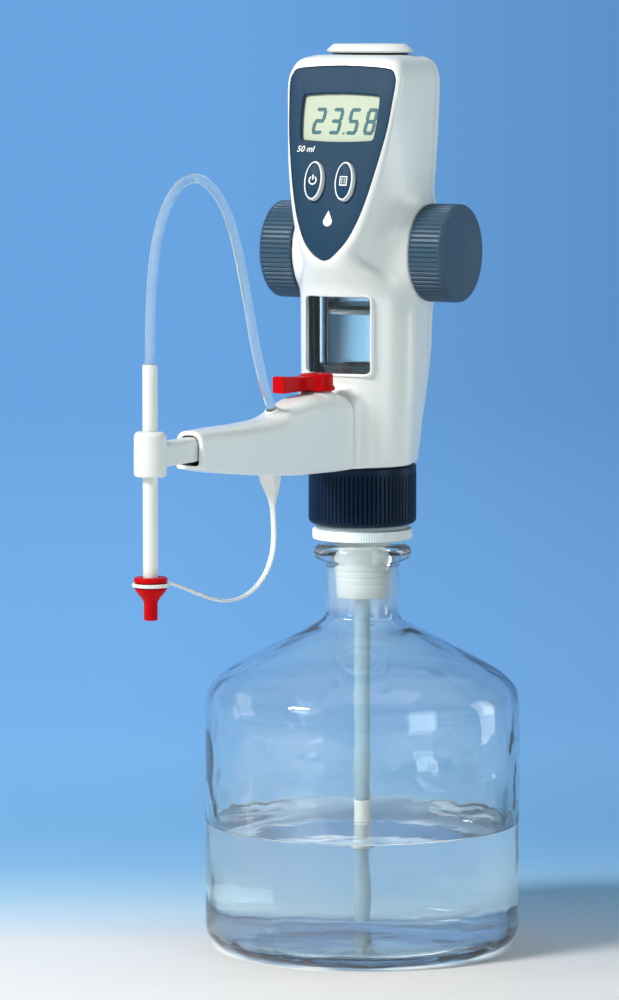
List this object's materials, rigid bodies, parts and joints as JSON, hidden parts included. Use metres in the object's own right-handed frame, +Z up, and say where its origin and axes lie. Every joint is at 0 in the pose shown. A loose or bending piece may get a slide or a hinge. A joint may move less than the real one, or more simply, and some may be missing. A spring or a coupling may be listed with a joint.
{
  "type": "digital bottle-top burette",
  "caption": "Digital bottle-top burette with handwheels, display, discharge arm, tubing and capped titrating tube, screwed on a squat glass reservoir bottle.",
  "frame": {"origin": "centre of the reservoir bottle's flat underside", "axes": "+Z up along the bottle and barrel axis; -Y is the front, where the display and the discharge arm point; +X is the user's right"},
  "size_m": [0.161, 0.3066, 0.4605],
  "materials": {
    "bottle_glass": "clear, glossy",
    "barrel_glass": "clear, glossy",
    "white_housing": "moulded, satin gloss",
    "white_plastic": "moulded, satin",
    "milky_plastic": "translucent, milky",
    "navy_plastic": "satin",
    "nut_plastic": "satin",
    "dark_plastic": "satin",
    "red_plastic": "moulded, satin gloss",
    "clear_tubing": "clear fluoropolymer tube",
    "window_plastic": "clear, glossy",
    "seal_rubber": "matte",
    "steel": "turned",
    "lcd_glass": "reflective display with dark digits",
    "board": "solder resist",
    "battery_can": "plain sleeve"
  },
  "bodies": {
    "burette": {"reservoir_bottle": "bottle_glass", "glass_barrel": "barrel_glass", "housing_front": "white_housing", "housing_rear": "white_housing", "battery_cover": "white_housing", "top_cap": "white_housing", "discharge_arm": "white_housing", "valve_block": "white_plastic", "filling_tube_sleeve": "white_plastic", "barrel_collar": "white_plastic", "outlet_valve_body": "white_plastic", "hose_port": "white_plastic", "strap_tab": "white_plastic", "strap_arm_side": "white_plastic", "ground_joint_adapter": "milky_plastic", "filling_tube_upper": "milky_plastic", "display_panel": "navy_plastic", "barrel_seat": "dark_plastic", "barrel_cradle": "dark_plastic", "hose_arm_side": "clear_tubing", "discharge_line": "clear_tubing", "inspection_window": "window_plastic", "adapter_gasket": "seal_rubber", "adapter_seal_ring": "seal_rubber", "cap_gasket": "seal_rubber", "top_inlay": "seal_rubber", "shaft_bush_left": "steel", "shaft_bush_right": "steel", "drive_frame": "steel", "housing_screw_1": "steel", "housing_screw_2": "steel", "housing_screw_3": "steel", "housing_screw_4": "steel", "lcd_module": "lcd_glass", "circuit_board": "board", "battery_left": "battery_can", "battery_right": "battery_can"},
    "union_nut": {"union_nut": "nut_plastic"},
    "filling_tube": {"filling_tube_lower": "milky_plastic"},
    "filling_ball": {"filling_valve_ball": "barrel_glass"},
    "handwheels": {"handwheel_shaft": "steel", "handwheel_left": "navy_plastic", "handwheel_right": "navy_plastic"},
    "reduction_gear": {"reduction_gear": "white_plastic"},
    "piston": {"piston_rack": "dark_plastic", "piston_seal": "white_plastic"},
    "power_key": {"power_key": "navy_plastic"},
    "function_key": {"function_key": "navy_plastic"},
    "valve_lever": {"valve_lever": "red_plastic", "valve_spindle": "white_plastic"},
    "tube_holder": {"tube_holder": "white_plastic"},
    "titrating_tube": {"titrating_tube": "white_plastic", "hose_tube_side": "clear_tubing"},
    "tip_cap": {"tip_cap": "red_plastic", "strap_ring": "white_plastic", "strap_cap_side": "white_plastic"}
  },
  "joints": [
    {"name": "nut_turn", "type": "hinge", "parent": "burette", "child": "union_nut", "pos_m": [0, 0, 0.232], "axis": [0, 0, 1], "continuous": true},
    {"name": "filling_tube_slide", "type": "slide", "parent": "burette", "child": "filling_tube", "axis": [0, 0, 1], "range_m": [-0.003, 0.07]},
    {"name": "filling_ball_lift", "type": "slide", "parent": "burette", "child": "filling_ball", "axis": [0, 0, 1], "range_m": [0, 0.004]},
    {"name": "handwheel_turn", "type": "hinge", "parent": "burette", "child": "handwheels", "pos_m": [0, 0.00894, 0.35545], "axis": [1, 0, 0], "range_deg": [-842, 1098]},
    {"name": "gear_turn", "type": "hinge", "parent": "burette", "child": "reduction_gear", "pos_m": [0, 0.00894, 0.37065], "axis": [1, 0, 0], "range_deg": [-392.5, 301]},
    {"name": "piston_slide", "type": "slide", "parent": "burette", "child": "piston", "axis": [0, 0, 1], "range_m": [-0.0274, 0.021]},
    {"name": "power_key_press", "type": "slide", "parent": "burette", "child": "power_key", "axis": [0, 0.9724, -0.2334], "range_m": [0, 0.0013], "stiffness_N_per_m": 300, "springref_m": -0.0005},
    {"name": "function_key_press", "type": "slide", "parent": "burette", "child": "function_key", "axis": [0, 0.9724, -0.2334], "range_m": [0, 0.0013], "stiffness_N_per_m": 300, "springref_m": -0.0005},
    {"name": "valve_turn", "type": "hinge", "parent": "burette", "child": "valve_lever", "pos_m": [0, -0.0502, 0.2887], "axis": [0, 0, 1], "range_deg": [-75, 15]},
    {"name": "holder_slide", "type": "slide", "parent": "burette", "child": "tube_holder", "axis": [0, -1, 0], "range_m": [-0.02, 0.025], "deforming": ["hose_arm_side", "strap_arm_side"]},
    {"name": "tube_slide", "type": "slide", "parent": "tube_holder", "child": "titrating_tube", "axis": [0, 0, 1], "range_m": [-0.02, 0.045], "deforming": ["hose_tube_side"]},
    {"name": "cap_slide", "type": "slide", "parent": "titrating_tube", "child": "tip_cap", "axis": [0, 0, -1], "range_m": [0, 0.025], "deforming": ["strap_cap_side"]}
  ],
  "couplings": [
    {"joint": "gear_turn", "follows": "handwheel_turn", "ratio": -0.35714},
    {"joint": "piston_slide", "follows": "handwheel_turn", "m_per_rad": -0.0014286}
  ]
}
